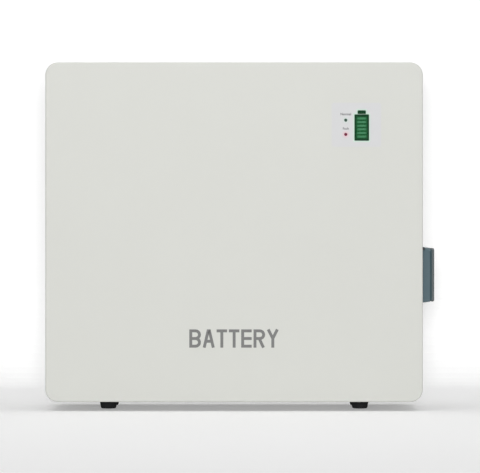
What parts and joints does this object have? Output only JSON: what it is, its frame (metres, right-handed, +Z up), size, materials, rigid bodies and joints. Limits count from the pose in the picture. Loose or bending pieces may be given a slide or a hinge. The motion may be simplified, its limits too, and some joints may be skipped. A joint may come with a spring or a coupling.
{
  "type": "wall battery unit",
  "caption": "Flat sheet-steel home storage battery with a charge display, a breaker under a tinted side lid, a connector bay, rubber feet and a hook-on wall bracket.",
  "frame": {"origin": "middle of the bounding box's base, level with the soles of the four feet", "axes": "+X towards the side with the breaker lid and the connector bay, seen on the right from the front; +Y from the front cover back towards the wall; +Z up"},
  "size_m": [0.4994, 0.1644, 0.4435],
  "materials": {
    "case_paint": "satin fine-texture powder coat, warm light grey",
    "gasket_rubber": "matte black foam",
    "zinc_screws": "satin zinc plate",
    "zinc_plate": "satin zinc-coated sheet",
    "steel_pin": "satin",
    "foot_rubber": "matte",
    "overlay_film": "satin printed film",
    "icon_green": "satin",
    "bar_green": "satin",
    "status_green": "gloss",
    "alarm_red": "gloss",
    "circuit_board": "satin",
    "sense_sheet": "matte",
    "glass_fibre": "matte",
    "plate_aluminium": "satin",
    "copper": "satin",
    "fuse_body": "matte",
    "breaker_case": "satin",
    "toggle_black": "satin",
    "frame_grey": "satin",
    "smoked_plastic": "gloss",
    "bay_plastic": "matte",
    "socket_orange": "satin",
    "socket_black": "satin",
    "switch_steel": "satin",
    "switch_cap": "satin",
    "brass_stud": "satin",
    "red_jacket": "matte",
    "black_jacket": "matte",
    "cell_film": "gloss film over an aluminium can"
  },
  "bodies": {
    "case": {"alarm_led_lens": "alarm_red", "black_cables": "black_jacket", "bms_board": "circuit_board", "bms_heatsink": "plate_aluminium", "bottom_end_plate": "plate_aluminium", "cell_01": "cell_film", "cell_02": "cell_film", "cell_03": "cell_film", "cell_04": "cell_film", "cell_05": "cell_film", "cell_06": "cell_film", "cell_07": "cell_film", "cell_08": "cell_film", "cell_09": "cell_film", "cell_10": "cell_film", "cell_11": "cell_film", "cell_12": "cell_film", "cell_13": "cell_film", "cell_14": "cell_film", "cell_15": "cell_film", "cell_16": "cell_film", "cell_busbars": "copper", "cell_insulators": "glass_fibre", "charge_bars": "bar_green", "charge_icon_lens": "icon_green", "clinch_nuts": "zinc_screws", "comms_board": "circuit_board", "connector_bay": "bay_plastic", "countersunk_screws": "zinc_screws", "cover_gasket": "gasket_rubber", "dc_breaker": "breaker_case", "din_rail": "zinc_plate", "display_board": "circuit_board", "display_overlay": "overlay_film", "foot_front_left": "foot_rubber", "foot_front_right": "foot_rubber", "foot_rear_left": "foot_rubber", "foot_rear_right": "foot_rubber", "front_cover": "case_paint", "ground_stud": "brass_stud", "hinge_pin": "steel_pin", "m3_pan_screws": "zinc_screws", "m4_screws_and_nuts": "zinc_screws", "m6_nuts_and_bolts": "zinc_screws", "main_fuse": "fuse_body", "negative_socket": "socket_black", "output_busbars": "copper", "positive_socket": "socket_orange", "rear_case": "case_paint", "red_cables": "red_jacket", "sense_board": "sense_sheet", "status_led_lens": "status_green", "tie_rods": "zinc_screws", "top_end_plate": "plate_aluminium", "wake_switch": "switch_steel", "window_frame": "frame_grey"},
    "window_cover": {"window_cover": "smoked_plastic"},
    "breaker_toggle": {"breaker_toggle": "toggle_black"},
    "wake_button": {"wake_button": "switch_cap"},
    "wall_bracket": {"wall_bracket": "zinc_plate"}
  },
  "joints": [
    {"name": "breaker_lid_hinge", "type": "hinge", "parent": "case", "child": "window_cover", "pos_m": [0.2361, 0.01525, 0.2056], "axis": [0, -1, 0], "range_deg": [0, 100]},
    {"name": "breaker_toggle_tilt", "type": "hinge", "parent": "case", "child": "breaker_toggle", "pos_m": [0.2292, 0.01525, 0.1723], "axis": [0, 1, 0], "range_deg": [0, 76]},
    {"name": "wake_button_press", "type": "slide", "parent": "case", "child": "wake_button", "axis": [-1, 0, 0], "range_m": [0, 0.002], "stiffness_N_per_m": 500},
    {"name": "wall_bracket_unhook", "type": "slide", "parent": "case", "child": "wall_bracket", "axis": [0, 0, -1], "range_m": [0, 0.03]}
  ]
}
